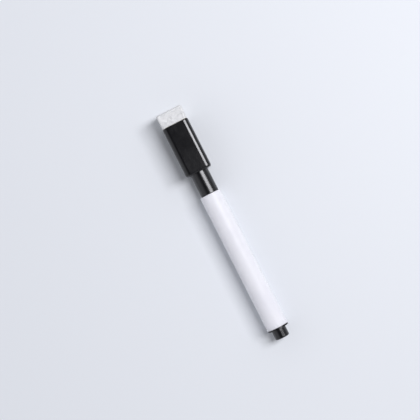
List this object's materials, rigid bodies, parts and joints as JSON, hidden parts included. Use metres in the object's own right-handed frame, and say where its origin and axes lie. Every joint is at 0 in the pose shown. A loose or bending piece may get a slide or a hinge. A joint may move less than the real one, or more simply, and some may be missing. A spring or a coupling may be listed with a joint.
{
  "type": "whiteboard marker",
  "caption": "Slim white marker with a bullet nib, a square black cap that holds a magnet, a felt eraser on the cap's end and a stub on the tail for the cap.",
  "frame": {"origin": "on the plane of the cap's flat face that sticks to the board, under the middle of the marker's length", "axes": "+X along the marker from the tail to the cap and eraser, +Z away from the board, +Y to the left when looking along +X"},
  "size_m": [0.1146, 0.0126, 0.0126],
  "materials": {
    "barrel_white": "moulded polypropylene, satin gloss",
    "plug_black": "moulded polypropylene, glossy black",
    "core_fibre": "polyester fibre soaked with black ink",
    "core_film": "thin polypropylene film",
    "holder_black": "moulded polypropylene",
    "nib_fibre": "bonded fibre stained with black ink",
    "liner_natural": "moulded polyethylene, natural white",
    "cap_black": "moulded ABS, satin on the block and glossy on the collar",
    "magnet_nickel": "nickel plate",
    "tray_black": "moulded polypropylene",
    "tape_cream": "double-sided foam tape",
    "felt_white": "pressed white felt"
  },
  "bodies": {
    "pen": {"barrel": "barrel_white", "end_plug": "plug_black", "ink_core": "core_fibre", "core_film": "core_film", "nib_holder": "holder_black", "nib": "nib_fibre"},
    "liner": {"inner_cap": "liner_natural"},
    "cap": {"cap_shell": "cap_black", "magnet": "magnet_nickel", "eraser_tray": "tray_black", "eraser_tape": "tape_cream", "eraser_felt": "felt_white"}
  },
  "joints": [
    {"name": "cap_pull", "type": "slide", "parent": "pen", "child": "liner", "axis": [1, 0, 0], "range_m": [0, 0.032]},
    {"name": "cap_turn", "type": "hinge", "parent": "liner", "child": "cap", "pos_m": [0.01554, 0, 0.0063], "axis": [1, 0, 0], "continuous": true}
  ]
}
